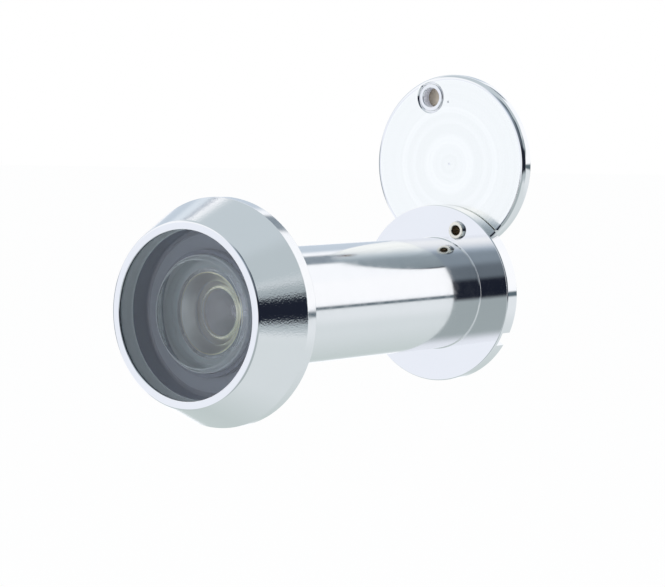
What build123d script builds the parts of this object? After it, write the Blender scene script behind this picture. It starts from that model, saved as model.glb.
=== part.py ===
from build123d import *
import math
import os

# Millimetres. The barrel lies along Y, from the outside of the door (-Y) to the room (+Y), with Z up.
# The origin is the centre of the head's rear face, which bears on the door's outer face.

# Fit in the door
tube_r = 7.0  # half of a 14 mm door hole
grip = 42.0  # head seat to flange seat with the two barrels screwed fully together
end_gap = 0.4  # head seat to the inner barrel's front end
seat_relief = 0.12  # depth of the turned relief round the shank in the head's rear face
relief_clear = 0.2  # relief's edge to the tube's outside

# Clearances
slip = 0.05  # radial, for pieces dropped into a bore
running = 0.06  # radial, between the screwed barrels
seat_play = 0.03  # along the axis, between pieces that turn against each other
rivet_play = 0.02  # radial, for a rivet driven in its hole

# Threaded shank of the outer barrel
sleeve_wall = 0.44  # inner barrel's wall outside the thread
thread_depth = 0.45
neck_length = 3.4  # plain neck behind the head, over the lens pocket
pocket_wall = 0.65
shoulder = 0.8  # ledge that stops the lens train
shank_clear = 0.6  # shank's end to the step in the inner barrel's bore
shank_chamfer = 0.4

# Head
head_r = 13.2
band_width = 1.7
head_web = 0.5  # wall between the lens chamber and the door
rim_width = 0.96
rim_bevel = 0.24
rim_round = 0.25
band_round = 0.3
head_rear_chamfer = 0.2
lip_thickness = 0.3
lip_cover = 0.2

# Front lens and its carrier
front_lens_r = 9.9
front_lens_edge = 4.0
front_lens_land = 3.3
front_bowl_depth = 1.1
glass_bevel = 0.15
chamber_depth = 2.57  # front lens to the chamber's floor
carrier_wall = 0.7
carrier_edge = 0.2  # the wall thins towards the front lens
carrier_floor = 0.35
collar_wall = 0.5
collar_height = 1.35  # length of the second lens held by the collar

# Second lens, which stands on the chamber's floor
second_seat = 1.35  # ledge under the lens, round the pocket
second_lens_gap = 0.43  # behind the front lens's rear face
second_front_land = 0.5
second_front_bowl = 1.0
second_rear_land = 1.0
second_rear_bowl = 0.3

# Lens train in the pocket
spacer_length = 1.8
spacer_front_wall = 0.15
spacer_rear_wall = 0.65
third_lens_edge = 1.7
third_front_land = 0.7
third_front_bowl = 0.45
third_rear_land = 1.55
third_rear_bowl = 0.35
aperture_length = 0.6
aperture_wall = 1.55  # of the stop, from its bore to its outside

# Eyepiece in the inner barrel
eyepiece_wall = 1.4
eyepiece_step = 0.6  # ledge that the eyepiece lens rests on
eyepiece_edge = 1.4
eyepiece_bulge = 0.7
ring_length = 1.6
ring_wall = 1.0
ring_recess = 0.6
ring_slot_width = 0.8
ring_slot_depth = 0.6
mouth_chamfer = 0.4
baffle_length = 8.9  # narrow bore in front of the eyepiece

# Flange
flange_r = 11.12
flange_thickness = 2.1
flange_round = 0.25
flange_rear_break = 0.1
coin_slot_width = 1.85
coin_slot_length = 3.6
coin_slot_web = 0.45  # left on the door side
coin_slot_turn = 96.0  # from the pivot to a slot, about the barrel's axis
pivot_offset = 8.74  # pivot to barrel axis
pivot_angle = 23.8  # from +Z towards +X, as the inner barrel stands in the door

# Swing cover
cover_overhang = 0.16  # past the flange's edge when closed
cover_thickness = 1.7
cover_gap = 0.2
cover_round = 0.42
cover_rear_chamfer = 0.3
cover_open = 137.2  # turned from closed
cover_hole_play = 0.06
pip_r = 0.2
pip_depth = 0.06

# Pivot rivet with its washers
rivet_r = 1.08
rivet_bore_r = 0.62
rivet_tail = 0.45  # stands out of the flange's door side
rivet_bore_depth = 1.8
rivet_head_r = 2.1
rivet_head_height = 0.8
rivet_head_chamfer = 0.35
washer_r = 2.2
spring_washer_r = 2.0
spring_washer_thickness = 0.18
spring_washer_dish = 0.16

# Knob
knob_inset = 2.36  # knob's axis to the cover's edge
knob_tail_r = 1.45
knob_bore_r = 1.2
knob_bore_depth = 1.0
knob_recess_r = 1.9
knob_recess_depth = 0.4
knob_flare_r = 1.75  # end of the tail, spread in the recess
knob_flare_sunk = 0.05
knob_foot_r = 2.2
knob_foot_height = 0.7
knob_neck_r = 1.5
knob_neck_height = 1.5
knob_head_r = 2.1
knob_head_height = 2.2
knob_chamfer = 0.5

# Radii that follow from the tube and the lenses
relief_r = tube_r + relief_clear
shank_r = tube_r - sleeve_wall - running
neck_r = shank_r - thread_depth
pocket_r = neck_r - pocket_wall
train_r = pocket_r - slip
shank_bore_r = pocket_r - shoulder
second_lens_r = pocket_r + second_seat
chamber_r = front_lens_r + slip
opening_r = front_lens_r - lip_cover
rim_r = opening_r + rim_width
eyepiece_bore_r = tube_r - eyepiece_wall
eyepiece_r = eyepiece_bore_r - slip
baffle_r = eyepiece_bore_r - eyepiece_step
cover_r = flange_r + cover_overhang

# Places along the barrel
head_length = lip_thickness + front_lens_edge + chamber_depth + head_web
front_y = -head_length
glass_y = front_y + lip_thickness
chamber_y = glass_y + front_lens_edge
floor_y = -head_web
second_y = chamber_y + second_lens_gap
third_y = floor_y + spacer_length
aperture_y = third_y + third_lens_edge
pocket_y = aperture_y + aperture_length
flange_y = grip
flange_rear_y = flange_y + flange_thickness
ring_y = flange_rear_y - ring_recess - ring_length
eyepiece_y = ring_y - eyepiece_edge
eyepiece_seat_y = eyepiece_y - seat_play
bore_end_y = eyepiece_seat_y - baffle_length
shank_end_y = bore_end_y - shank_clear
cover_y = flange_rear_y + cover_gap
cover_rear_y = cover_y + cover_thickness
washer_y = cover_rear_y + seat_play
rivet_head_y = washer_y + spring_washer_thickness + spring_washer_dish


def at_angle(radius, degrees):
    """A point (x, z) at a radius, turned from +Z towards +X."""
    return (
        radius * math.sin(math.radians(degrees)),
        radius * math.cos(math.radians(degrees)),
    )


pivot_x, pivot_z = at_angle(pivot_offset, pivot_angle)
arm_angle = pivot_angle - 180 + cover_open
arm_x, arm_z = at_angle(pivot_offset, arm_angle)
cover_x, cover_z = pivot_x + arm_x, pivot_z + arm_z
knob_dx, knob_dz = at_angle(cover_r - knob_inset, arm_angle)
knob_x, knob_z = cover_x + knob_dx, cover_z + knob_dz


def turned(outline):
    """Turns a closed outline of (radius, y) points about the barrel's axis."""
    return revolve(make_face(Polyline(*outline, close=True)), Axis.Y)


def washer(inner, outer, front, rear):
    """A plain turned ring."""
    return turned([(inner, front), (outer, front), (outer, rear), (inner, rear)])


def rod(radius, front, rear, x=0.0, z=0.0):
    """A round bar along Y."""
    plane = Plane((x, front, z), x_dir=(1, 0, 0), z_dir=(0, 1, 0))
    return extrude(plane * Circle(radius), rear - front)


def curve_edge(vertex_y, rim, rim_y):
    """One side of a lens, an arc square to the axis at its vertex."""
    return TangentArc((0, vertex_y), (rim, rim_y), tangent=(1, 0))


def lens(radius, front, rear, front_rim, front_hollow, rear_rim, rear_hollow):
    """A round lens. A hollow of 0 is a flat face, and one below 0 bulges."""
    bevel = min(glass_bevel, (rear - front) / 4)
    front_vertex, rear_vertex = front + front_hollow, rear - rear_hollow
    edge = Polyline(
        (front_rim, front),
        (radius - bevel, front),
        (radius, front + bevel),
        (radius, rear - bevel),
        (radius - bevel, rear),
        (rear_rim, rear),
    )
    if front_hollow:
        front_side = curve_edge(front_vertex, front_rim, front)
    else:
        front_side = Line((0, front), (front_rim, front))
    if rear_hollow:
        rear_side = curve_edge(rear_vertex, rear_rim, rear)
    else:
        rear_side = Line((0, rear), (rear_rim, rear))
    axis_line = Line((0, front_vertex), (0, rear_vertex))
    return revolve(make_face([front_side, *edge.edges(), rear_side, axis_line]), Axis.Y)


def edges_at(solid, y, radius):
    """The round edges at one place along the barrel and of one radius."""
    near = 0.02
    return [
        e
        for e in solid.edges().filter_by(GeomType.CIRCLE)
        if abs(e.center().Y - y) < near and abs(e.radius - radius) < near
    ]


def outer_barrel():
    """Flared head in one piece with the hollow threaded shank."""
    band_y = -band_width
    body = turned(
        [
            (opening_r + rim_bevel, front_y),
            (rim_r, front_y),
            (head_r, band_y),
            (head_r, -head_rear_chamfer),
            (head_r - head_rear_chamfer, 0),
            (relief_r, 0),
            (relief_r, -seat_relief),
            (neck_r, -seat_relief),
            (neck_r, neck_length),
            (shank_r, neck_length + thread_depth),
            (shank_r, shank_end_y - shank_chamfer),
            (shank_r - shank_chamfer, shank_end_y),
            (shank_bore_r, shank_end_y),
            (shank_bore_r, pocket_y),
            (pocket_r, pocket_y),
            (pocket_r, floor_y),
            (chamber_r, floor_y),
            (chamber_r, glass_y),
            (opening_r, glass_y),
            (opening_r, front_y + rim_bevel),
        ]
    )
    body = fillet(edges_at(body, front_y, rim_r), rim_round)
    return fillet(edges_at(body, band_y, head_r), band_round)


def lens_carrier():
    """Cup that spaces the front lens from the chamber floor and centres the second lens."""
    collar_r = second_lens_r + slip
    collar_y = floor_y - collar_height
    return turned(
        [
            (front_lens_r, chamber_y),
            (front_lens_r, floor_y),
            (collar_r, floor_y),
            (collar_r, collar_y),
            (collar_r + collar_wall, collar_y),
            (collar_r + collar_wall, floor_y - carrier_floor),
            (front_lens_r - carrier_wall, floor_y - carrier_floor),
            (front_lens_r - carrier_edge, chamber_y),
        ]
    )


def front_lens():
    """Large lens, flat outside and hollow inside."""
    rim = front_lens_r - front_lens_land
    return lens(front_lens_r, glass_y, chamber_y, rim, 0, rim, front_bowl_depth)


def second_lens():
    """Lens that stands on the chamber's floor, hollow on both sides."""
    front_rim = second_lens_r - second_front_land
    rear_rim = second_lens_r - second_rear_land
    front, rear = second_front_bowl, second_rear_bowl
    return lens(second_lens_r, second_y, floor_y, front_rim, front, rear_rim, rear)


def lens_spacer():
    """Brass ring with a tapered bore between the second and third lenses."""
    return turned(
        [
            (train_r - spacer_front_wall, floor_y),
            (train_r, floor_y),
            (train_r, third_y),
            (train_r - spacer_rear_wall, third_y),
        ]
    )


def third_lens():
    """Small lens at the bottom of the pocket, hollow on both sides."""
    front_rim = train_r - third_front_land
    rear_rim = train_r - third_rear_land
    front, rear = third_front_bowl, third_rear_bowl
    return lens(train_r, third_y, aperture_y, front_rim, front, rear_rim, rear)


def aperture_ring():
    """Brass stop under the third lens, resting on the pocket's shoulder."""
    return washer(train_r - aperture_wall, train_r, aperture_y, pocket_y)


def coin_slot(side):
    """Cutter for one of the two opposite slots in the flange's rear face."""
    plane = Plane((0, flange_y + coin_slot_web, 0), x_dir=(1, 0, 0), z_dir=(0, 1, 0))
    middle = flange_r - coin_slot_length / 2 + coin_slot_width / 2
    angle = pivot_angle + coin_slot_turn + side
    x, z = at_angle(middle, angle)
    slot = Rectangle(coin_slot_length + coin_slot_width, coin_slot_width)
    placed = plane * Pos(x, -z) * Rot(0, 0, angle - 90) * slot
    return extrude(placed, flange_thickness)


def inner_barrel():
    """Sleeve that screws over the shank, in one piece with the flange."""
    bore_r = shank_r + running
    body = turned(
        [
            (bore_r, end_gap),
            (tube_r, end_gap),
            (tube_r, flange_y),
            (flange_r, flange_y),
            (flange_r, flange_rear_y - flange_rear_break),
            (flange_r - flange_rear_break, flange_rear_y),
            (eyepiece_bore_r + mouth_chamfer, flange_rear_y),
            (eyepiece_bore_r, flange_rear_y - mouth_chamfer),
            (eyepiece_bore_r, eyepiece_seat_y),
            (baffle_r, eyepiece_seat_y),
            (baffle_r, bore_end_y),
            (bore_r, bore_end_y),
        ]
    )
    body = fillet(edges_at(body, flange_y, flange_r), flange_round)
    for side in (0, 180):
        body -= coin_slot(side)
    hole_r = rivet_r + rivet_play
    return body - rod(hole_r, flange_y - slip, flange_rear_y + slip, pivot_x, pivot_z)


def eyepiece_lens():
    """Lens that the eye looks into, bulging on both sides."""
    rim = eyepiece_r - ring_wall
    return lens(
        eyepiece_r, eyepiece_y, ring_y, rim, -eyepiece_bulge / 2, rim, -eyepiece_bulge
    )


def eyepiece_ring():
    """Ring screwed in behind the eyepiece lens, with two slots for its key."""
    rear = ring_y + ring_length
    ring = washer(eyepiece_r - ring_wall, eyepiece_r, ring_y, rear)
    plane = Plane((0, rear - ring_slot_depth, 0), x_dir=(1, 0, 0), z_dir=(0, 1, 0))
    return ring - extrude(plane * Rectangle(4 * eyepiece_r, ring_slot_width), ring_slot_depth)


def pivot_washer():
    """Thin washer on the rivet that keeps the cover off the flange."""
    rear = cover_y - seat_play
    ring = rod(washer_r, flange_rear_y, rear, pivot_x, pivot_z)
    return ring - rod(rivet_r + rivet_play, flange_rear_y, rear, pivot_x, pivot_z)


def at_pivot(solid):
    return Pos(pivot_x, 0, pivot_z) * solid


def spring_washer():
    """Dished washer that presses the cover against the flange."""
    inner = rivet_r + rivet_play
    dish, thick = spring_washer_dish, spring_washer_thickness
    outline = [
        (inner, washer_y + dish),
        (spring_washer_r, washer_y),
        (spring_washer_r, washer_y + thick),
        (inner, washer_y + dish + thick),
    ]
    return at_pivot(turned(outline))


def pivot_rivet():
    """Semi-tubular rivet: low head in the room, tubular tail on the flange's door side."""
    tail_y = flange_y - rivet_tail
    top_y = rivet_head_y + rivet_head_height
    body = turned(
        [
            (0, tail_y + rivet_bore_depth),
            (rivet_bore_r, tail_y + rivet_bore_depth),
            (rivet_bore_r, tail_y),
            (rivet_r, tail_y),
            (rivet_r, rivet_head_y),
            (rivet_head_r, rivet_head_y),
            (rivet_head_r, top_y - rivet_head_chamfer),
            (rivet_head_r - rivet_head_chamfer, top_y),
            (0, top_y),
        ]
    )
    return at_pivot(body)


def swing_cover():
    """Disc that swings about the rivet, bored for the rivet and the knob."""
    disc = turned(
        [
            (0, cover_y + pip_depth),
            (pip_r, cover_y),
            (cover_r, cover_y),
            (cover_r, cover_rear_y - cover_rear_chamfer),
            (cover_r - cover_rear_chamfer, cover_rear_y),
            (0, cover_rear_y),
        ]
    )
    disc = fillet(edges_at(disc, cover_y, cover_r), cover_round)
    cover = Pos(cover_x, 0, cover_z) * disc
    hole_r = rivet_r + cover_hole_play
    cover -= rod(hole_r, cover_y - slip, cover_rear_y + slip, pivot_x, pivot_z)
    tail_hole_r = knob_tail_r + rivet_play
    cover -= rod(tail_hole_r, cover_y - slip, cover_rear_y + slip, knob_x, knob_z)
    return cover - rod(knob_recess_r, cover_y - slip, cover_y + knob_recess_depth, knob_x, knob_z)


def cover_knob():
    """Knob on the room side, with a tubular tail spread in the cover's recess."""
    tail_y = cover_y + knob_flare_sunk
    recess_y = cover_y + knob_recess_depth
    foot_y = cover_rear_y + knob_foot_height
    head_y = foot_y + knob_neck_height
    top_y = head_y + knob_head_height
    knob = turned(
        [
            (0, tail_y + knob_bore_depth),
            (knob_bore_r, tail_y + knob_bore_depth),
            (knob_bore_r, tail_y),
            (knob_flare_r, tail_y),
            (knob_flare_r, recess_y),
            (knob_tail_r, recess_y),
            (knob_tail_r, cover_rear_y),
            (knob_foot_r, cover_rear_y),
            (knob_foot_r, foot_y),
            (knob_neck_r, foot_y),
            (knob_neck_r, head_y),
            (knob_head_r, head_y),
            (knob_head_r, top_y - knob_chamfer),
            (knob_head_r - knob_chamfer, top_y),
            (0, top_y),
        ]
    )
    return Pos(knob_x, 0, knob_z) * knob


pieces = {
    "outer_barrel": outer_barrel(),
    "front_lens": front_lens(),
    "lens_carrier": lens_carrier(),
    "second_lens": second_lens(),
    "lens_spacer": lens_spacer(),
    "third_lens": third_lens(),
    "aperture_ring": aperture_ring(),
    "inner_barrel": inner_barrel(),
    "eyepiece_lens": eyepiece_lens(),
    "eyepiece_ring": eyepiece_ring(),
    "pivot_rivet": pivot_rivet(),
    "pivot_washer": pivot_washer(),
    "spring_washer": spring_washer(),
    "swing_cover": swing_cover(),
    "cover_knob": cover_knob(),
}

os.makedirs("parts", exist_ok=True)
for name, solid in pieces.items():
    export_step(solid, f"parts/{name}.step")
print(f"shank end {shank_end_y:.3f}, travel {shank_end_y - end_gap:.3f} less the engagement")
print(f"pivot ({pivot_x:.4f}, {pivot_z:.4f}), cover centre ({cover_x:.4f}, {cover_z:.4f})")
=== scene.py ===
import math
from types import SimpleNamespace

import bmesh
import bpy
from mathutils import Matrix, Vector


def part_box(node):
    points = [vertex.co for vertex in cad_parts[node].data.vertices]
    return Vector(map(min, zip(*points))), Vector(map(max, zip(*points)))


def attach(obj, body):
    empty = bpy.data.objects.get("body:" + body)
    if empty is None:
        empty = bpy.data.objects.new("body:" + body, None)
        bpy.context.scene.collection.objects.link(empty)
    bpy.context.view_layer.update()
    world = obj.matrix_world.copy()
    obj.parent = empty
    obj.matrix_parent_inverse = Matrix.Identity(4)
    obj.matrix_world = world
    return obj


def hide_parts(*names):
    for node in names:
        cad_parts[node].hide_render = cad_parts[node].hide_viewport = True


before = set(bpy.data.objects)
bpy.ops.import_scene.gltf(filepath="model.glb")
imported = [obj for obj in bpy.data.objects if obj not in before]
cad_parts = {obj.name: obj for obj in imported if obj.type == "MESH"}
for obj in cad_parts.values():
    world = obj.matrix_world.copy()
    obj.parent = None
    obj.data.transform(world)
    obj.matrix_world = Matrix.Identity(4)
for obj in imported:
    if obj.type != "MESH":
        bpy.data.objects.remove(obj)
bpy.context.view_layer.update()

# Outlines are in millimetres, in the frame of the CAD model, and meshes in metres
MM = 0.001
ROUND_STEPS = 6
FINE_SEGMENTS = 192
SMALL_SEGMENTS = 72
SHARP_ANGLE = 24.0
NEAR = 0.01  # a face is on a surface when its centre is this near
TINY = 1e-6
FACING = 0.9  # least y of the normal of a face that is square to Y
OVERSHOOT = 1.0  # of a cutter past what it cuts
EDGE_BREAK = 0.05

# Head and shank
RIM_WIDTH = 0.96
RIM_INNER_ROUND = 0.1
RIM_ROUND = 0.4
RIM_POLISH = 0.3  # bright part of the rim, from its front
BAND_WIDTH = 1.7
BAND_ROUND = 0.3
BAND_POLISH = 1.65  # brushed part of the band, from its rear
LIP_COVER = 0.2  # overlap of the lip on the front glass
SLIP = 0.05  # play round a piece in its seat
HEAD_WEB = 0.5
SEAT_RELIEF_DEPTH = 0.12
SEAT_RELIEF_R = 7.2
SEAT_RELIEF_CLEAR = 0.2
NECK_R = 6.05
NECK_LENGTH = 3.4
SHANK_BORE_R = 4.6
THREAD_R = 6.5
THREAD_PITCH = 1.0
THREAD_ROWS_PER_TURN = 10
THREAD_FADE = 0.8  # run-out at each end
THREAD_SLOPE = 2.5  # steepness of the flanks
THREAD_FULLNESS = 1.85  # height that the crest cuts off at 1

# Inner barrel
SLEEVE_BORE_R = 6.56
SLEEVE_CHAMFER = 0.1
SLEEVE_ROUND = 0.12
FLANGE_THICKNESS = 2.1
FLANGE_ROUND = 0.16
FLANGE_REAR_ROUND = 0.1
FLANGE_FILLET = 0.16
BAFFLE_LENGTH = 8.9
EYEPIECE_STEP = 0.6
MOUTH_CHAMFER = 0.4
COIN_SLOT_WIDTH = 1.85
COIN_SLOT_LENGTH = 3.6
COIN_SLOT_WEB = 0.45
COIN_SLOT_TURN = 96.0
RING_SLOT_WIDTH = 0.8
RING_SLOT_DEPTH = 0.6
RING_WALL = 1.0
RING_ROUND = 0.1
RING_BORE_ROUND = 0.15

# Cover, rivet and knob
COVER_ROUND = 0.6
COVER_REAR_ROUND = 0.35
COVER_PLAY = 0.06
PIP_R = 0.2  # of the lathe mark in the middle of the cover
PIP_DEPTH = 0.06
PIT_R = 0.14
PIT_DEPTH = 0.2
PIT_FROM_KNOB = (2.72, -0.56)  # x and z
RIVET_R = 1.08
RIVET_PLAY = 0.02
RIVET_TAIL_ROUND = 0.12
RIVET_TAIL_FACE = 0.1
RIVET_BORE_R = 0.62
RIVET_BORE_DEPTH = 1.8
RIVET_HEAD_HEIGHT = 0.8
RIVET_HEAD_ROUND = 0.4
HOLE_BREAK = 0.12
WASHER_ROUND = 0.04
WASHER_STEPS = 3
DISHED_THICKNESS = 0.18
RECESS_R = 1.9
RECESS_DEPTH = 0.4
KNOB_FLARE_R = 1.75
KNOB_TAIL_R = 1.45
KNOB_BORE_R = 1.2
KNOB_BORE_DEPTH = 1.3
KNOB_TAIL_ROUND = 0.15
KNOB_FOOT_R = 2.2
KNOB_FOOT_HEIGHT = 0.7
KNOB_FOOT_ROUND = 0.25
KNOB_NECK_R = 1.5
KNOB_NECK_HEIGHT = 1.5
KNOB_NECK_ROUND = 0.2
KNOB_HEAD_R = 2.1
KNOB_HEAD_ROUND = 0.3
KNOB_END_ROUND = 0.55

# Lenses and their rings
GLASS_INDEX = 1.52
GLASS_BEVEL = 0.15
FRONT_LAND = 3.7
FRONT_BOWL = 1.0
SECOND_FRONT_LAND = 0.5
SECOND_FRONT_BOWL = 1.0
SECOND_REAR_LAND = 1.0
SECOND_REAR_BOWL = 0.3
THIRD_FRONT_LAND = 0.7
THIRD_FRONT_BOWL = 0.45
THIRD_REAR_LAND = 1.55
THIRD_REAR_BOWL = 0.35
EYEPIECE_BULGE = 0.7
CARRIER_WALL = 0.7
CARRIER_EDGE = 0.2
CARRIER_FLOOR = 0.35
CARRIER_CORNER = 0.2
COLLAR_WALL = 0.5
COLLAR_HEIGHT = 1.35
COLLAR_ROUND = 0.08
COLLAR_FOOT = 0.1
STOP_BORE_R = 3.8
STOP_TAPER = 0.25
STOP_LAND = 0.2
SPACER_FRONT_WALL = 0.15
SPACER_REAR_WALL = 0.65
LENS_STEPS = 40
HAIR = 0.01  # gap that keeps glass off what it touches
HIGHLIGHT_LINE_WIDTH = 0.1  # width of the painted highlight, a bright line round a lens's rear bowl

# Camera, worked out from edges read off the photograph
IMAGE_WIDTH = 665
FOCAL_PIXELS = 2748.5
SENSOR_WIDTH = 36.0
CAMERA_AZIMUTH = 36.754
CAMERA_ELEVATION = 3.746
CAMERA_PLACE = (197.549, -244.035, 22.651)

# Floor under the object
FLOOR_DROP = 60.0
FLOOR_SIZE = 6000.0
FLOOR_GLOW = 0.97


def span(node):
    """A CAD node's place: its greatest radius, its ends along Y and its centre."""
    low, high = (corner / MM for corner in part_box(node))
    centre = (low + high) / 2
    return SimpleNamespace(
        radius=(high.x - low.x) / 2, front=low.y, rear=high.y, x=centre.x, z=centre.z
    )


def about(start, end, centre, steps):
    """Points from start to end, the short way round a centre."""
    radius = (start - centre).length
    first = math.atan2(*(start - centre).yx)
    turn = math.atan2(*(end - centre).yx) - first
    turn = (turn + math.pi) % (2 * math.pi) - math.pi
    angles = [first + turn * i / steps for i in range(steps + 1)]
    return [centre + radius * Vector((math.cos(a), math.sin(a))) for a in angles]


def softened(corners, steps=ROUND_STEPS):
    """An outline of (radius, y) corners, where a third number rounds the corner."""
    points = []
    for i, corner in enumerate(corners):
        here = Vector(corner[:2])
        if len(corner) == 2:
            points.append(here)
            continue
        back = (Vector(corners[i - 1][:2]) - here).normalized()
        ahead = (Vector(corners[(i + 1) % len(corners)][:2]) - here).normalized()
        half = back.angle(ahead) / 2
        reach = corner[2] / math.tan(half)
        centre = here + (back + ahead).normalized() * corner[2] / math.sin(half)
        points += about(here + back * reach, here + ahead * reach, centre, steps)
    return points


def dome(vertex_y, rim_r, rim_y, steps=LENS_STEPS):
    """A lens surface from the axis to its rim, as an arc square to the axis."""
    rise = rim_y - vertex_y
    if abs(rise) < TINY:
        return [Vector((rim_r * i / steps, vertex_y)) for i in range(steps + 1)]
    centre_y = (rim_r**2 + rim_y**2 - vertex_y**2) / (2 * rise)
    return about(Vector((0, vertex_y)), Vector((rim_r, rim_y)), Vector((0, centre_y)), steps)


def placed(radius, y, angle, x=0.0, z=0.0):
    """A point at an angle from +Z towards +X about a line along Y, in metres."""
    return Vector((x + radius * math.sin(angle), y, z + radius * math.cos(angle))) * MM


def add_ring(mesh, radii, y, segments, x, z):
    """One ring of vertices. A ring on the axis is a single vertex."""
    if max(radii) < TINY:
        return [mesh.verts.new(placed(0, y, 0, x, z))]
    step = 2 * math.pi / segments
    return [mesh.verts.new(placed(r, y, i * step, x, z)) for i, r in enumerate(radii)]


def join_rings(mesh, first, second):
    """Faces between two rings."""
    count = max(len(first), len(second))
    for i in range(count):
        j = (i + 1) % count
        if len(first) == 1:
            corners = (first[0], second[j], second[i])
        elif len(second) == 1:
            corners = (first[i], first[j], second[0])
        else:
            corners = (first[i], first[j], second[j], second[i])
        mesh.faces.new(corners)


def in_scene(name, mesh):
    """Puts a mesh in the scene as an object."""
    data = bpy.data.meshes.new(name)
    mesh.to_mesh(data)
    mesh.free()
    piece = bpy.data.objects.new(name, data)
    bpy.context.scene.collection.objects.link(piece)
    return piece


def turned(name, outline, segments=FINE_SEGMENTS, x=0.0, z=0.0):
    """A piece turned from (radius, y) points. A radius may be a list, one for each segment."""
    mesh = bmesh.new()
    rings = []
    for radius, y in outline:
        radii = radius if isinstance(radius, list) else [radius] * segments
        rings.append(add_ring(mesh, radii, y, segments, x, z))
    closed = len(rings[0]) > 1 or len(rings[-1]) > 1
    for first, second in zip(rings, rings[1:]):
        join_rings(mesh, first, second)
    if closed:
        join_rings(mesh, rings[-1], rings[0])
    bmesh.ops.recalc_face_normals(mesh, faces=mesh.faces)
    return in_scene(name, mesh)


def block(name, place):
    """A cutter made of a cube of side 1, whose corners go where a function puts them."""
    mesh = bmesh.new()
    bmesh.ops.create_cube(mesh, size=1.0)
    for vert in mesh.verts:
        vert.co = place(*vert.co) * MM
    bmesh.ops.recalc_face_normals(mesh, faces=mesh.faces)
    return in_scene(name, mesh)


def apply_modifiers(piece):
    """Makes the piece's modifiers part of its mesh."""
    graph = bpy.context.evaluated_depsgraph_get()
    data = bpy.data.meshes.new_from_object(piece.evaluated_get(graph), depsgraph=graph)
    piece.modifiers.clear()
    old = piece.data
    piece.data = data
    bpy.data.meshes.remove(old)


def cut(piece, *cutters):
    """Takes cutters away from a piece."""
    for cutter in cutters:
        step = piece.modifiers.new("cut", "BOOLEAN")
        step.operation = "DIFFERENCE"
        step.solver = "EXACT"
        step.object = cutter
    apply_modifiers(piece)
    for cutter in cutters:
        bpy.data.objects.remove(cutter)


def smoothed(piece):
    """Smooth faces, with sharp corners kept and flat faces left flat."""
    piece.data.shade_smooth()
    piece.data.set_sharp_from_angle(angle=math.radians(SHARP_ANGLE))
    weighted = piece.modifiers.new("flat faces", "WEIGHTED_NORMAL")
    weighted.keep_sharp = True
    apply_modifiers(piece)


def finished(piece, node, body, *materials):
    """Gives a piece its surface, its materials and its place in the frame."""
    smoothed(piece)
    for material in materials:
        piece.data.materials.append(material)
    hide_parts(node)
    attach(piece, body)


def paint(piece, material, test, x=0.0, z=0.0):
    """Gives one of a piece's materials to the faces that pass a test.

    The test takes the radius about a line along Y, the y and the normal.
    """
    index = piece.data.materials.find(material.name)
    for face in piece.data.polygons:
        centre = face.center / MM
        if test(math.hypot(centre.x - x, centre.z - z), centre.y, face.normal):
            face.material_index = index


class Nodes:
    """Adds nodes to a node tree and links them."""

    def __init__(self, tree):
        self.tree = tree
        self.tree.nodes.clear()

    def add(self, kind, **settings):
        node = self.tree.nodes.new(kind)
        for name, value in settings.items():
            setattr(node, name, value)
        return node

    def link(self, output, node, name):
        self.tree.links.new(output, node.inputs[name])

    def math(self, operation, *values, clamp=False):
        node = self.add("ShaderNodeMath", operation=operation, use_clamp=clamp)
        for i, value in enumerate(values):
            if isinstance(value, (int, float)):
                node.inputs[i].default_value = value
            else:
                self.tree.links.new(value, node.inputs[i])
        return node.outputs[0]

    def ramp(self, value, low, high, to_low=0.0, to_high=1.0, smooth=False):
        """Maps a value from low..high to to_low..to_high."""
        node = self.add("ShaderNodeMapRange")
        node.interpolation_type = "SMOOTHSTEP" if smooth else "LINEAR"
        self.link(value, node, "Value")
        for name, number in zip(("From Min", "From Max"), (low, high)):
            node.inputs[name].default_value = number
        for name, number in zip(("To Min", "To Max"), (to_low, to_high)):
            node.inputs[name].default_value = number
        return node.outputs["Result"]

    def mix(self, share, first, second):
        """A colour between two, each a colour or an output."""
        node = self.add("ShaderNodeMix", data_type="RGBA")
        for socket, value in ((0, share), (6, first), (7, second)):
            if isinstance(value, tuple):
                node.inputs[socket].default_value = (*value, 1)
            elif isinstance(value, (int, float)):
                node.inputs[socket].default_value = value
            else:
                self.tree.links.new(value, node.inputs[socket])
        return node.outputs[2]

    def noise(self, scale, detail=2.0, vector=None, roughness=0.5):
        node = self.add("ShaderNodeTexNoise")
        node.inputs["Scale"].default_value = scale
        node.inputs["Detail"].default_value = detail
        node.inputs["Roughness"].default_value = roughness
        place = vector or self.add("ShaderNodeTexCoord").outputs["Object"]
        self.link(place, node, "Vector")
        return node.outputs["Fac"]

    def rings(self, x=0.0, z=0.0):
        """A texture place that changes only with the distance from a line along Y."""
        split = self.add("ShaderNodeSeparateXYZ")
        self.link(self.add("ShaderNodeTexCoord").outputs["Object"], split, "Vector")
        across = self.math("SUBTRACT", split.outputs["X"], x * MM)
        up = self.math("SUBTRACT", split.outputs["Z"], z * MM)
        across = self.math("MULTIPLY", across, across)
        up = self.math("MULTIPLY", up, up)
        place = self.add("ShaderNodeCombineXYZ")
        self.link(self.math("SQRT", self.math("ADD", across, up)), place, "X")
        return place.outputs["Vector"]

    def bump(self, height, depth):
        """A bump of a depth in millimetres."""
        node = self.add("ShaderNodeBump")
        node.inputs["Strength"].default_value = 1.0
        node.inputs["Distance"].default_value = depth * MM
        self.link(height, node, "Height")
        return node.outputs["Normal"]


def new_material(name):
    """A material with one Principled shader."""
    material = bpy.data.materials.new(name)
    material.use_nodes = True
    nodes = Nodes(material.node_tree)
    shader = nodes.add("ShaderNodeBsdfPrincipled")
    output = nodes.add("ShaderNodeOutputMaterial")
    nodes.link(shader.outputs["BSDF"], output, "Surface")
    return material, nodes, shader, output


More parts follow.
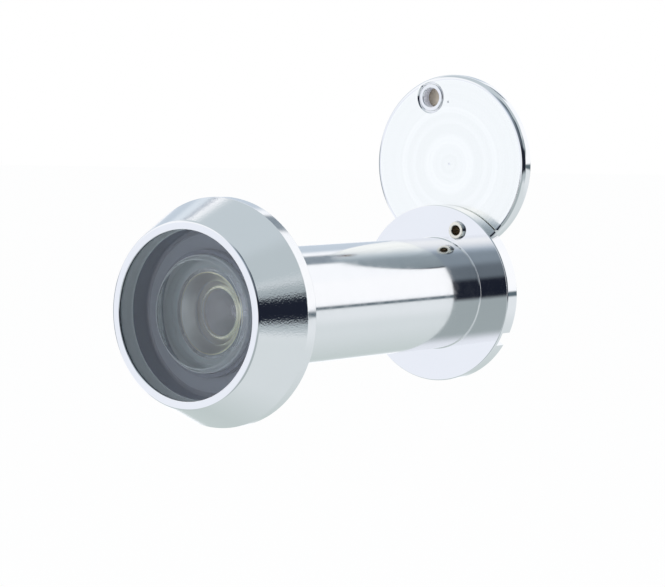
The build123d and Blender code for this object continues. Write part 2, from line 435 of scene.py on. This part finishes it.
def metal(name, light, dark, rough, grain, depth):
    """Metal with cloudy tone, uneven polish and a fine grain of a size and depth in millimetres."""
    material, nodes, shader, _ = new_material(name)
    shader.inputs["Metallic"].default_value = 1.0
    cloud = nodes.noise(180.0, 3.0)
    nodes.link(nodes.mix(cloud, dark, light), shader, "Base Color")
    polish = nodes.noise(900.0, 4.0)
    nodes.link(nodes.ramp(polish, 0.3, 0.7, rough * 0.7, rough * 1.3), shader, "Roughness")
    height = nodes.noise(1 / (grain * MM))
    nodes.link(nodes.bump(height, depth), shader, "Normal")
    return material


def turned_metal(name, light, dark, rough, x=0.0, z=0.0):
    """Metal with fine concentric marks about a centre, as a lathe tool leaves them."""
    material, nodes, shader, _ = new_material(name)
    shader.inputs["Metallic"].default_value = 1.0
    rings = nodes.rings(x, z)
    fine = nodes.noise(2600.0, 3.0, rings, 0.6)
    wide = nodes.noise(520.0, 2.0, rings)
    both = nodes.math("ADD", nodes.math("MULTIPLY", fine, 0.5), wide)
    nodes.link(nodes.mix(nodes.ramp(both, 0.6, 0.9), dark, light), shader, "Base Color")
    nodes.link(nodes.ramp(fine, 0.3, 0.7, rough * 0.7, rough * 1.3), shader, "Roughness")
    nodes.link(nodes.bump(both, 0.012), shader, "Normal")
    return material


def glass(name, tint, depth_colour, density, haze=0.03):
    """Clear glass, tinted by its thickness, with faint dust."""
    material, nodes, shader, output = new_material(name)
    shader.inputs["Base Color"].default_value = (*tint, 1)
    shader.inputs["Transmission Weight"].default_value = 1.0
    shader.inputs["IOR"].default_value = GLASS_INDEX
    dust = nodes.noise(1500.0, 5.0)
    nodes.link(nodes.ramp(dust, 0.35, 0.8, haze / 3, haze), shader, "Roughness")
    inside = nodes.add("ShaderNodeVolumeAbsorption")
    inside.inputs["Color"].default_value = (*depth_colour, 1)
    inside.inputs["Density"].default_value = density / MM
    nodes.link(inside.outputs["Volume"], output, "Volume")
    return material


def matt(name, light, dark, rough, grain, depth, turned_marks=False):
    """Moulded plastic or ground glass with a fine grain, and with or without concentric marks."""
    material, nodes, shader, _ = new_material(name)
    if turned_marks:
        tone = nodes.ramp(nodes.noise(3200.0, 3.0, nodes.rings(), 0.7), 0.35, 0.65)
    else:
        tone = nodes.noise(400.0, 4.0)
    nodes.link(nodes.mix(tone, dark, light), shader, "Base Color")
    polish = nodes.noise(1200.0, 2.0)
    nodes.link(nodes.ramp(polish, 0.3, 0.7, rough * 0.85, rough * 1.15), shader, "Roughness")
    nodes.link(nodes.bump(nodes.noise(1 / (grain * MM), 3.0), depth), shader, "Normal")
    return material


outer = span("outer_barrel")
inner = span("inner_barrel")
front_glass_at = span("front_lens")
second_glass_at = span("second_lens")
third_glass_at = span("third_lens")
spacer_at = span("lens_spacer")
stop_at = span("aperture_ring")
carrier_at = span("lens_carrier")
eye_glass_at = span("eyepiece_lens")
eye_ring_at = span("eyepiece_ring")
pivot_at = span("pivot_rivet")
flat_washer_at = span("pivot_washer")
spring_at = span("spring_washer")
cover_at = span("swing_cover")
knob_at = span("cover_knob")
tube_r = SEAT_RELIEF_R - SEAT_RELIEF_CLEAR
flange_front = inner.rear - FLANGE_THICKNESS

CHROME_LIGHT = (0.872, 0.875, 0.88)
CHROME_DARK = (0.85, 0.853, 0.858)
chrome = metal("bright chrome", CHROME_LIGHT, CHROME_DARK, rough=0.035, grain=2.5, depth=0.0012)
tube_chrome = metal(
    "softly brushed chrome", CHROME_LIGHT, CHROME_DARK, rough=0.11, grain=2.5, depth=0.0012
)
peel = metal(
    "chrome over a fine cast grain", CHROME_LIGHT, CHROME_DARK, rough=0.045, grain=0.19, depth=0.013
)
cover_face = turned_metal(
    "turned chrome", (1.0, 1.0, 0.955), (0.94, 0.945, 0.90), rough=0.16, x=cover_at.x, z=cover_at.z
)
brass = turned_metal("turned brass", (1.0, 0.94, 0.72), (0.88, 0.79, 0.52), rough=0.3)
nickel = turned_metal("turned nickel", (0.98, 0.98, 0.96), (0.74, 0.74, 0.71), rough=0.3)
pale_brass = metal(
    "worn brass under chrome", (0.92, 0.89, 0.80), (0.80, 0.76, 0.66), rough=0.3, grain=0.2, depth=0.004
)
dull_bore = matt(
    "dull grey bore", (0.92, 0.92, 0.97), (0.76, 0.76, 0.82), rough=0.6, grain=0.4, depth=0.004
)
dark_brass = metal(
    "unplated brass bore", (0.62, 0.55, 0.44), (0.42, 0.36, 0.28), rough=0.42, grain=0.4, depth=0.006
)
# Painted shade: the lip's inner wall and the chamber round the front glass get a dark metal colour
painted_shade_metal = metal(
    "lip metal darkened as painted shade", (0.34, 0.35, 0.38), (0.22, 0.23, 0.26), rough=0.35, grain=0.3, depth=0.004
)
thread_metal = metal(
    "satin nickel thread", (0.80, 0.80, 0.79), (0.66, 0.66, 0.65), rough=0.22, grain=0.5, depth=0.004
)
spring_steel = metal(
    "spring steel", (0.62, 0.62, 0.63), (0.50, 0.50, 0.52), rough=0.25, grain=0.3, depth=0.003
)
# Painted shade: the eyepiece is tinted nearly black so the view through the lens train stays dim; its
# haze is roughness
hazy_shaded_glass = glass("eyepiece glass darkened as painted shade", (0.08, 0.08, 0.1), (0.80, 0.82, 0.86), density=0.05, haze=0.2)
clear = glass("front glass", (0.985, 0.99, 1.0), (0.75, 0.86, 0.88), density=0.012)
teal = glass("second glass", (0.97, 0.99, 0.99), (0.62, 0.80, 0.82), density=0.05)
plain = glass("small lens glass", (0.98, 0.985, 0.985), (0.80, 0.86, 0.84), density=0.03)
ground = matt(
    "ground edge of glass", (0.98, 1.0, 1.0), (0.86, 0.96, 0.99),
    rough=0.55, grain=0.15, depth=0.006, turned_marks=True,
)
# Painted highlight: a near-white colour on the lenses' bevels and on a thin ring round each rear bowl
painted_glass_highlight = matt(
    "painted highlight on glass edges", (0.97, 0.99, 1.0), (0.80, 0.88, 0.90), rough=0.4, grain=0.1, depth=0.01
)
# Painted light: a lighter copy of the cup's grey plastic for its floor, where more light falls than on
# its walls
floor_plastic_painted_light = matt(
    "grey plastic painted lighter on the floor", (0.42, 0.47, 0.55), (0.38, 0.43, 0.51),
    rough=0.55, grain=0.25, depth=0.002,
)
grey_plastic = matt(
    "grey plastic", (0.25, 0.285, 0.37), (0.22, 0.25, 0.33), rough=0.55, grain=0.25, depth=0.002
)


def thread_rows(start, end, root, crest):
    """Rows of a right-hand thread: each a list of radii about the axis, and its y."""
    rows = int((end - start) / THREAD_PITCH * THREAD_ROWS_PER_TURN)
    points = []
    for i in range(rows + 1):
        y = start + (end - start) * i / rows
        fade = min(1.0, (y - start) / THREAD_FADE, (end - y) / THREAD_FADE)
        radii = []
        for k in range(FINE_SEGMENTS):
            turn = (y / THREAD_PITCH - k / FINE_SEGMENTS) % 1.0
            height = min(1.0, max(0.0, THREAD_FULLNESS - THREAD_SLOPE * abs(2 * turn - 1)))
            radii.append(root + (crest - root) * height * max(fade, 0.0))
        points.append((radii, y))
    return points


def head_with_shank():
    """Flared head in one piece with the hollow threaded shank."""
    lens_r = front_glass_at.radius
    opening_r = lens_r - LIP_COVER
    rim_r = opening_r + RIM_WIDTH
    chamber_r = lens_r + SLIP
    pocket_r = spacer_at.radius + SLIP
    head_r, front, glass_y = outer.radius, outer.front, front_glass_at.front
    outline = softened([
        (pocket_r, stop_at.rear),
        (pocket_r, -HEAD_WEB),
        (chamber_r, -HEAD_WEB),
        (chamber_r, glass_y),
        (opening_r, glass_y),
        (opening_r, front, RIM_INNER_ROUND),
        (rim_r, front, RIM_ROUND),
        (head_r, -BAND_WIDTH, BAND_ROUND),
        (head_r, 0, BAND_ROUND),
        (SEAT_RELIEF_R, 0),
        (SEAT_RELIEF_R, -SEAT_RELIEF_DEPTH),
        (NECK_R, -SEAT_RELIEF_DEPTH),
    ])
    outline += thread_rows(NECK_LENGTH, outer.rear, NECK_R, THREAD_R)
    outline += softened([(SHANK_BORE_R, outer.rear), (SHANK_BORE_R, stop_at.rear)])
    piece = turned("head_with_threaded_shank", outline)
    plating = peel, chrome, thread_metal, painted_shade_metal, dull_bore, tube_chrome
    finished(piece, "outer_barrel", "outer_half", *plating)
    lip_y, web_y = front + RIM_INNER_ROUND, NEAR - HEAD_WEB
    paint(piece, chrome, lambda r, y, n: y < front + RIM_POLISH)
    paint(piece, tube_chrome, lambda r, y, n: -BAND_POLISH < y < NEAR)
    # painted shade on the lip and on the chamber walls round the front glass
    paint(piece, painted_shade_metal, lambda r, y, n: r < chamber_r + NEAR and lip_y < y < web_y)
    paint(piece, thread_metal, lambda r, y, n: r > NECK_R - NEAR and y > 0)
    paint(piece, dull_bore, lambda r, y, n: r < NECK_R - NEAR and y > -HEAD_WEB)


def coin_slot_cutter(side):
    """A block that cuts one of the two opposite coin slots in the flange's room side."""
    angle = math.atan2(pivot_at.x, pivot_at.z) + math.radians(COIN_SLOT_TURN + side)
    along = Vector((math.sin(angle), 0, math.cos(angle)))
    across = Vector((-math.cos(angle), 0, math.sin(angle)))
    length, depth = COIN_SLOT_LENGTH + 2 * OVERSHOOT, 2 * FLANGE_THICKNESS
    middle = along * (inner.radius - COIN_SLOT_LENGTH + length / 2)
    middle.y = flange_front + COIN_SLOT_WEB + depth / 2

    def corner(x, y, z):
        sideways = along * x * length + across * z * COIN_SLOT_WIDTH
        return middle + sideways + Vector((0, y * depth, 0))

    return block("coin slot", corner)


def drill(front, rear, radius, x, z):
    """A cutter for a round hole with its two edges broken."""
    wide = radius + HOLE_BREAK
    outline = [
        (0, front - OVERSHOOT), (wide, front - OVERSHOOT), (wide, front), (radius, front + HOLE_BREAK),
        (radius, rear - HOLE_BREAK), (wide, rear), (wide, rear + OVERSHOOT), (0, rear + OVERSHOOT),
    ]
    return turned("drill", outline, SMALL_SEGMENTS, x, z)


def flanged_sleeve():
    """Bright sleeve that screws over the shank, in one piece with the flange."""
    eye_bore_r = eye_glass_at.radius + SLIP
    baffle_r = eye_bore_r - EYEPIECE_STEP
    seat_y = eye_glass_at.front
    bore_end = seat_y - BAFFLE_LENGTH
    flange_r = inner.radius
    outline = softened([
        (SLEEVE_BORE_R, bore_end),
        (SLEEVE_BORE_R, inner.front + SLEEVE_CHAMFER),
        (SLEEVE_BORE_R + SLEEVE_CHAMFER, inner.front),
        (tube_r, inner.front, SLEEVE_ROUND),
        (tube_r, flange_front, FLANGE_FILLET),
        (flange_r, flange_front, FLANGE_ROUND),
        (flange_r, inner.rear, FLANGE_REAR_ROUND),
        (eye_bore_r + MOUTH_CHAMFER, inner.rear, EDGE_BREAK),
        (eye_bore_r, inner.rear - MOUTH_CHAMFER),
        (eye_bore_r, seat_y),
        (baffle_r, seat_y),
        (baffle_r, bore_end),
    ])
    piece = turned("flanged_sleeve", outline)
    hole = drill(flange_front, inner.rear, RIVET_R + RIVET_PLAY, pivot_at.x, pivot_at.z)
    cut(piece, coin_slot_cutter(0), coin_slot_cutter(180), hole)
    finished(piece, "inner_barrel", "inner_half", chrome, dull_bore, tube_chrome)
    paint(piece, dull_bore, lambda r, y, n: r < eye_bore_r - NEAR)
    paint(piece, dull_bore, lambda r, y, n: r < SLEEVE_BORE_R + NEAR and y < bore_end)
    paint(piece, tube_chrome, lambda r, y, n: abs(r - tube_r) < 2 * NEAR and y < flange_front)


def lens_piece(name, node, body, at, front_dome, rear_dome, material, ground_land=False):
    """A round lens with ground edges and painted highlights on its bevels and round its rear bowl, a hair
    clear of what it touches.

    Its rear land may be ground too.
    """
    front_dome = [point + Vector((0, HAIR)) for point in front_dome]
    rear_dome = [point - Vector((0, HAIR)) for point in rear_dome]
    edge = [
        Vector((at.radius - GLASS_BEVEL, front_dome[-1].y)),
        Vector((at.radius, front_dome[-1].y + GLASS_BEVEL)),
        Vector((at.radius, rear_dome[-1].y - GLASS_BEVEL)),
        Vector((at.radius - GLASS_BEVEL, rear_dome[-1].y)),
        rear_dome[-1] + Vector((HIGHLIGHT_LINE_WIDTH, 0)),
    ]
    piece = turned(name, front_dome + edge + rear_dome[::-1])
    finished(piece, node, body, material, ground, painted_glass_highlight)
    rim = rear_dome[-1]
    edge_r = at.radius - HAIR
    if ground_land:
        paint(piece, ground, lambda r, y, n: r > rim.x and y > rim.y - GLASS_BEVEL)
    paint(piece, ground, lambda r, y, n: r > edge_r)
    # painted highlight on the bevels and on a thin ring round the rear bowl
    paint(piece, painted_glass_highlight, lambda r, y, n: at.radius - GLASS_BEVEL < r < edge_r)
    paint(piece, painted_glass_highlight, lambda r, y, n: n.y > FACING and 0 < r - rim.x < HIGHLIGHT_LINE_WIDTH)


def lenses():
    """The three lenses in the head and the eyepiece."""
    at = front_glass_at
    rim = at.radius - FRONT_LAND
    lens_piece("front_glass", "front_lens", "outer_half", at,
               dome(at.front, rim, at.front), dome(at.rear - FRONT_BOWL, rim, at.rear), clear)
    at = second_glass_at
    lens_piece("second_glass", "second_lens", "outer_half", at,
               dome(at.front + SECOND_FRONT_BOWL, at.radius - SECOND_FRONT_LAND, at.front),
               dome(at.rear - SECOND_REAR_BOWL, at.radius - SECOND_REAR_LAND, at.rear), teal, True)
    at = third_glass_at
    lens_piece("third_glass", "third_lens", "outer_half", at,
               dome(at.front + THIRD_FRONT_BOWL, at.radius - THIRD_FRONT_LAND, at.front),
               dome(at.rear - THIRD_REAR_BOWL, at.radius - THIRD_REAR_LAND, at.rear), plain)
    at = eye_glass_at
    rim = at.radius - RING_WALL
    front, rear = at.front + EYEPIECE_BULGE / 2, eye_ring_at.front
    # the eyepiece glass carries painted shade
    lens_piece("eye_glass", "eyepiece_lens", "eyepiece", at,
               dome(at.front, rim, front), dome(at.rear, rim, rear), hazy_shaded_glass)


def lens_cup():
    """Grey cup that spaces the front lens and centres the second."""
    collar_r = second_glass_at.radius + SLIP
    collar_y = carrier_at.rear - COLLAR_HEIGHT
    wall_r = carrier_at.radius - CARRIER_WALL
    floor_y = carrier_at.rear - CARRIER_FLOOR
    outline = softened([
        (carrier_at.radius, carrier_at.front),
        (carrier_at.radius, carrier_at.rear),
        (collar_r, carrier_at.rear),
        (collar_r, collar_y, COLLAR_ROUND),
        (collar_r + COLLAR_WALL, collar_y, COLLAR_ROUND),
        (collar_r + COLLAR_WALL, floor_y, COLLAR_FOOT),
        (wall_r, floor_y, CARRIER_CORNER),
        (carrier_at.radius - CARRIER_EDGE, carrier_at.front, EDGE_BREAK),
    ])
    cup = turned("grey_lens_cup", outline)
    finished(cup, "lens_carrier", "outer_half", grey_plastic, floor_plastic_painted_light)
    # painted light: the cup's floor is lighter than its walls
    paint(cup, floor_plastic_painted_light, lambda r, y, n: abs(y - floor_y) < NEAR)


def train_rings():
    """The tapered spacer and the stop of the lens train."""
    at = spacer_at
    mouth_r = at.radius - SPACER_FRONT_WALL
    outline = [
        (mouth_r, at.front),
        (at.radius, at.front),
        (at.radius, at.rear),
        (at.radius - SPACER_REAR_WALL, at.rear),
    ]
    spacer = turned("brass_spacer", outline)
    finished(spacer, "lens_spacer", "outer_half", brass, nickel)
    paint(spacer, nickel, lambda r, y, n: r < mouth_r + NEAR and abs(n.y) < FACING)
    at = stop_at
    outline = [
        (STOP_BORE_R, at.front),
        (at.radius, at.front),
        (at.radius, at.rear),
        (STOP_BORE_R + STOP_TAPER, at.rear),
        (STOP_BORE_R, at.front + STOP_LAND),
    ]
    finished(turned("brass_stop", outline), "aperture_ring", "outer_half", brass)


def slotted_ring():
    """Ring behind the eyepiece, with two slots for its key."""
    at = eye_ring_at
    bore_r = at.radius - RING_WALL
    outline = softened([
        (bore_r, at.front),
        (at.radius, at.front),
        (at.radius, at.rear, RING_ROUND),
        (bore_r, at.rear, RING_BORE_ROUND),
    ])
    ring = turned("slotted_ring", outline)

    def corner(x, y, z):
        return Vector((x * 4 * at.radius, at.rear + y * 2 * RING_SLOT_DEPTH, z * RING_SLOT_WIDTH))

    cut(ring, block("key slot", corner))
    finished(ring, "eyepiece_ring", "eyepiece", chrome)


def tubular_rivet():
    """Pivot with a low round head in the room and a hollow tail on the door side."""
    at = pivot_at
    head_y = at.rear - RIVET_HEAD_HEIGHT
    outline = softened([
        (0, at.front + RIVET_BORE_DEPTH),
        (RIVET_BORE_R, at.front + RIVET_BORE_DEPTH),
        (RIVET_BORE_R, at.front, RIVET_TAIL_ROUND),
        (RIVET_R, at.front, RIVET_TAIL_ROUND),
        (RIVET_R, head_y),
        (at.radius, head_y),
        (at.radius, at.rear, RIVET_HEAD_ROUND),
        (0, at.rear),
    ])
    piece = turned("tubular_rivet", outline, SMALL_SEGMENTS, at.x, at.z)
    finished(piece, "pivot_rivet", "inner_half", chrome, pale_brass, dark_brass)
    face_y = at.front + RIVET_TAIL_FACE
    paint(piece, dark_brass, lambda r, y, n: r < RIVET_BORE_R + NEAR and y < head_y, at.x, at.z)
    paint(piece, pale_brass, lambda r, y, n: r > RIVET_BORE_R and y < face_y, at.x, at.z)


def washers():
    """The flat washer that keeps the cover off the flange, and the dished one on the cover."""
    hole_r = RIVET_R + RIVET_PLAY
    at = flat_washer_at
    outline = softened([
        (hole_r, at.front),
        (at.radius, at.front, WASHER_ROUND),
        (at.radius, at.rear, WASHER_ROUND),
        (hole_r, at.rear),
    ], WASHER_STEPS)
    washer = turned("flat_washer", outline, SMALL_SEGMENTS, at.x, at.z)
    finished(washer, "pivot_washer", "inner_half", spring_steel)
    at = spring_at
    outline = softened([
        (hole_r, at.rear - DISHED_THICKNESS),
        (at.radius, at.front, EDGE_BREAK),
        (at.radius, at.front + DISHED_THICKNESS, EDGE_BREAK),
        (hole_r, at.rear),
    ], WASHER_STEPS)
    washer = turned("dished_washer", outline, SMALL_SEGMENTS, at.x, at.z)
    finished(washer, "spring_washer", "inner_half", spring_steel)


def knob_recess():
    """A cutter for the round recess in the cover's inner face, with its edge broken."""
    front, deep, wide = cover_at.front, cover_at.front + RECESS_DEPTH, RECESS_R + HOLE_BREAK
    outline = softened([
        (0, front - OVERSHOOT), (wide, front - OVERSHOOT), (wide, front),
        (RECESS_R, front + HOLE_BREAK), (RECESS_R, deep), (0, deep),
    ])
    return turned("recess", outline, SMALL_SEGMENTS, knob_at.x, knob_at.z)


def small_pit():
    """A cutter for the small pointed pit beside the recess."""
    front = cover_at.front
    outline = [(0, front - OVERSHOOT), (PIT_R, front - OVERSHOOT), (PIT_R, front), (0, front + PIT_DEPTH)]
    x, z = knob_at.x + PIT_FROM_KNOB[0], knob_at.z + PIT_FROM_KNOB[1]
    return turned("pit", outline, SMALL_SEGMENTS, x, z)


def swing_disc():
    """Disc that swings about the rivet, with a turned inner face."""
    at = cover_at
    outline = softened([
        (0, at.front + PIP_DEPTH),
        (PIP_R, at.front, EDGE_BREAK),
        (at.radius, at.front, COVER_ROUND),
        (at.radius, at.rear, COVER_REAR_ROUND),
        (0, at.rear),
    ])
    disc = turned("swing_disc", outline, FINE_SEGMENTS, at.x, at.z)
    pivot_hole = drill(at.front, at.rear, RIVET_R + COVER_PLAY, pivot_at.x, pivot_at.z)
    knob_hole = drill(at.front, at.rear, KNOB_TAIL_R + RIVET_PLAY, knob_at.x, knob_at.z)
    cut(disc, pivot_hole, knob_hole)
    cut(disc, knob_recess(), small_pit())
    finished(disc, "swing_cover", "cover", chrome, cover_face)
    paint(disc, cover_face, lambda r, y, n: abs(y - at.front) < NEAR)


def knob_with_tail():
    """Turned knob whose hollow tail is spread in the cover."""
    at = knob_at
    recess_y = cover_at.front + RECESS_DEPTH
    foot_y = cover_at.rear + KNOB_FOOT_HEIGHT
    head_y = foot_y + KNOB_NECK_HEIGHT
    outline = softened([
        (0, at.front + KNOB_BORE_DEPTH),
        (KNOB_BORE_R, at.front + KNOB_BORE_DEPTH),
        (KNOB_BORE_R, at.front, KNOB_TAIL_ROUND),
        (KNOB_FLARE_R, at.front, KNOB_TAIL_ROUND),
        (KNOB_FLARE_R, recess_y),
        (KNOB_TAIL_R, recess_y),
        (KNOB_TAIL_R, cover_at.rear),
        (KNOB_FOOT_R, cover_at.rear),
        (KNOB_FOOT_R, foot_y, KNOB_FOOT_ROUND),
        (KNOB_NECK_R, foot_y, KNOB_NECK_ROUND),
        (KNOB_NECK_R, head_y, KNOB_HEAD_ROUND),
        (KNOB_HEAD_R, head_y, KNOB_HEAD_ROUND),
        (KNOB_HEAD_R, at.rear, KNOB_END_ROUND),
        (0, at.rear),
    ])
    piece = turned("knob_with_tail", outline, SMALL_SEGMENTS, at.x, at.z)
    finished(piece, "cover_knob", "cover", chrome, dark_brass, dull_bore)
    bore_r, end_y = KNOB_BORE_R + NEAR, cover_at.rear
    paint(piece, dull_bore, lambda r, y, n: r < bore_r and y < end_y, at.x, at.z)
    paint(piece, dark_brass, lambda r, y, n: r < bore_r and y < end_y and n.y < -FACING, at.x, at.z)


# Reflectance used to turn a tone seen in the chrome into the light that makes it
CHROME_SHARE = 0.86


def light_for(red, green, blue):
    """The light that shows in chrome as a display colour of 0 to 255."""
    return tuple((value / 255) ** 2.2 / CHROME_SHARE for value in (red, green, blue))


# Soft light and dark cards round the object
CARDS = (
    # In degrees: azimuth from +Y towards +X, half width, softness, low edge, high edge, softness
    (-144, 50, 30, -40, 18, 10, light_for(232, 236, 245)),
    (0, 180, 1, 47, 120, 12, light_for(189, 199, 205)),
    (90, 55, 18, 26, 60, 14, light_for(180, 190, 195)),
    (90, 55, 18, 8, 26, 8, light_for(158, 168, 173)),
    (30, 12, 6, 3, 27, 5, light_for(249, 250, 253)),
    (-50, 26, 8, 5, 34, 5, light_for(188, 199, 211)),
    (-53, 14, 4, 23, 34, 5, light_for(213, 222, 231)),
    (-53, 16, 5, 35, 39, 2, light_for(155, 165, 178)),
    (180, 14, 24, 16, 48, 12, light_for(180, 193, 208)),
    (148, 25, 22, 10, 48, 10, light_for(102, 111, 120)),
    (165, 20, 18, 29, 48, 6, light_for(132, 144, 155)),
    (-8, 9, 5, 33, 46, 3, light_for(130, 141, 151)),
    (105, 50, 16, -17, -4, 8, light_for(172, 182, 187)),
    (162, 32, 24, -62, -9, 9, light_for(162, 172, 175)),
    (10, 62, 10, -4.2, -0.6, 2, light_for(90, 103, 111)),
    (118, 18, 16, 10, 44, 8, light_for(74, 82, 92)),
    (142, 20, 14, 45, 60, 8, light_for(84, 94, 104)),
    (-78, 28, 20, -12, 5, 6, light_for(150, 158, 166)),
    (118, 46, 9, -8, 15, 6, light_for(34, 38, 49)),
)

# Table and wall, as the chrome shows them
TABLE_LIGHT = light_for(221, 226, 230)  # far off
TABLE_RIGHT = light_for(208, 215, 218)
TABLE_LEFT = light_for(187, 197, 197)
TABLE_SIDES = (-0.45, 0.3)  # x over which left turns to right
TABLE_FADE = (-26, -12)  # degrees of elevation over which near turns to far
TABLE_LEFT_EDGE = -1.77  # x divided by drop, where the table ends
TABLE_EDGE_BLUR = 0.15
LEAST_DROP = 0.01  # keeps that quotient finite
HORIZON = (-5, -2)  # degrees of elevation over which table turns to wall
WALL = light_for(246, 248, 252)


def studio_world():
    """A white studio with a table and soft light and dark cards, seen in metal and glass.

    The camera sees plain white.
    """
    world = bpy.data.worlds.new("studio")
    bpy.context.scene.world = world
    world.use_nodes = True
    nodes = Nodes(world.node_tree)
    split = nodes.add("ShaderNodeSeparateXYZ")
    nodes.link(nodes.add("ShaderNodeTexCoord").outputs["Generated"], split, "Vector")
    azimuth = nodes.math("ARCTAN2", split.outputs["X"], split.outputs["Y"])
    elevation = nodes.math("ARCSINE", split.outputs["Z"])
    azimuth = nodes.math("MULTIPLY", azimuth, 180 / math.pi)
    elevation = nodes.math("MULTIPLY", elevation, 180 / math.pi)
    colour = nodes.mix(nodes.ramp(split.outputs["X"], *TABLE_SIDES), TABLE_LEFT, TABLE_RIGHT)
    colour = nodes.mix(nodes.ramp(elevation, *TABLE_FADE, smooth=True), colour, TABLE_LIGHT)
    drop = nodes.math("MAXIMUM", nodes.math("MULTIPLY", split.outputs["Z"], -1.0), LEAST_DROP)
    reach = nodes.math("DIVIDE", split.outputs["X"], drop)
    beside = nodes.ramp(reach, TABLE_LEFT_EDGE, TABLE_LEFT_EDGE - TABLE_EDGE_BLUR, smooth=True)
    colour = nodes.mix(beside, colour, WALL)
    colour = nodes.mix(nodes.ramp(elevation, *HORIZON, smooth=True), colour, WALL)
    for middle, half, soft, low, high, blur, tone in CARDS:
        away = nodes.math("WRAP", nodes.math("SUBTRACT", azimuth, middle), 180, -180)
        side = nodes.ramp(nodes.math("ABSOLUTE", away), half + soft / 2, half - soft / 2, smooth=True)
        above = nodes.ramp(elevation, low - blur / 2, low + blur / 2, smooth=True)
        below = nodes.ramp(elevation, high + blur / 2, high - blur / 2, smooth=True)
        share = nodes.math("MULTIPLY", side, nodes.math("MULTIPLY", above, below))
        colour = nodes.mix(share, colour, tone)
    seen = nodes.add("ShaderNodeLightPath").outputs["Is Camera Ray"]
    background = nodes.add("ShaderNodeBackground")
    nodes.link(nodes.mix(seen, colour, (1.0, 1.0, 1.0)), background, "Color")
    output = nodes.add("ShaderNodeOutputWorld")
    nodes.link(background.outputs["Background"], output, "Surface")


def lamp(name, place, size, power):
    """A soft square lamp aimed at the object, which metal doesn't show."""
    data = bpy.data.lights.new(name, "AREA")
    data.shape = "SQUARE"
    data.size = size * MM
    data.energy = power
    light = bpy.data.objects.new(name, data)
    light.location = Vector(place) * MM
    light.rotation_euler = (-light.location).to_track_quat("-Z", "Y").to_euler()
    light.visible_glossy = False
    light.visible_camera = False
    light.visible_transmission = False
    bpy.context.scene.collection.objects.link(light)


def studio_floor():
    """A pale floor under the object. The camera sees it near white, with the object's shadow."""
    material, nodes, shader, output = new_material("pale floor")
    grain = nodes.noise(40.0, 3.0)
    nodes.link(nodes.mix(grain, (0.86, 0.87, 0.88), (0.89, 0.90, 0.91)), shader, "Base Color")
    shader.inputs["Roughness"].default_value = 0.8
    glow = nodes.add("ShaderNodeEmission")
    glow.inputs["Color"].default_value = (1, 1, 1, 1)
    path = nodes.add("ShaderNodeLightPath")
    seen = nodes.math("ADD", path.outputs["Is Camera Ray"], path.outputs["Is Glossy Ray"])
    seen = nodes.math("ADD", seen, path.outputs["Is Transmission Ray"], clamp=True)
    blend = nodes.add("ShaderNodeMixShader")
    nodes.link(nodes.math("MULTIPLY", seen, FLOOR_GLOW), blend, 0)
    nodes.link(shader.outputs["BSDF"], blend, 1)
    nodes.link(glow.outputs["Emission"], blend, 2)
    nodes.link(blend.outputs["Shader"], output, "Surface")
    mesh = bmesh.new()
    bmesh.ops.create_grid(mesh, x_segments=8, y_segments=8, size=FLOOR_SIZE / 2 * MM)
    floor = in_scene("studio_floor", mesh)
    floor.location.z = -FLOOR_DROP * MM
    floor.visible_glossy = False
    floor.visible_transmission = False
    floor.data.materials.append(material)


def photograph_camera():
    """The camera at the photograph's viewing angle."""
    data = bpy.data.cameras.new("photograph")
    data.sensor_fit = "HORIZONTAL"
    data.sensor_width = SENSOR_WIDTH
    data.lens = FOCAL_PIXELS / IMAGE_WIDTH * SENSOR_WIDTH
    data.clip_start = 0.01
    camera = bpy.data.objects.new("photograph", data)
    camera.location = Vector(CAMERA_PLACE) * MM
    tilt = math.radians(90 - CAMERA_ELEVATION)
    camera.rotation_euler = (tilt, 0, math.radians(CAMERA_AZIMUTH))
    bpy.context.scene.collection.objects.link(camera)
    bpy.context.scene.camera = camera


photograph_camera()
head_with_shank()
flanged_sleeve()
lenses()
lens_cup()
train_rings()
slotted_ring()
tubular_rivet()
washers()
swing_disc()
knob_with_tail()
studio_world()
studio_floor()
lamp("key lamp", (-300, -350, 450), 350, 1.2)
lamp("fill lamp", (400, -200, 250), 350, 0.6)

scene = bpy.context.scene
scene.view_settings.view_transform = "Standard"
scene.cycles.max_bounces = 24
scene.cycles.transmission_bounces = 20
scene.cycles.glossy_bounces = 12
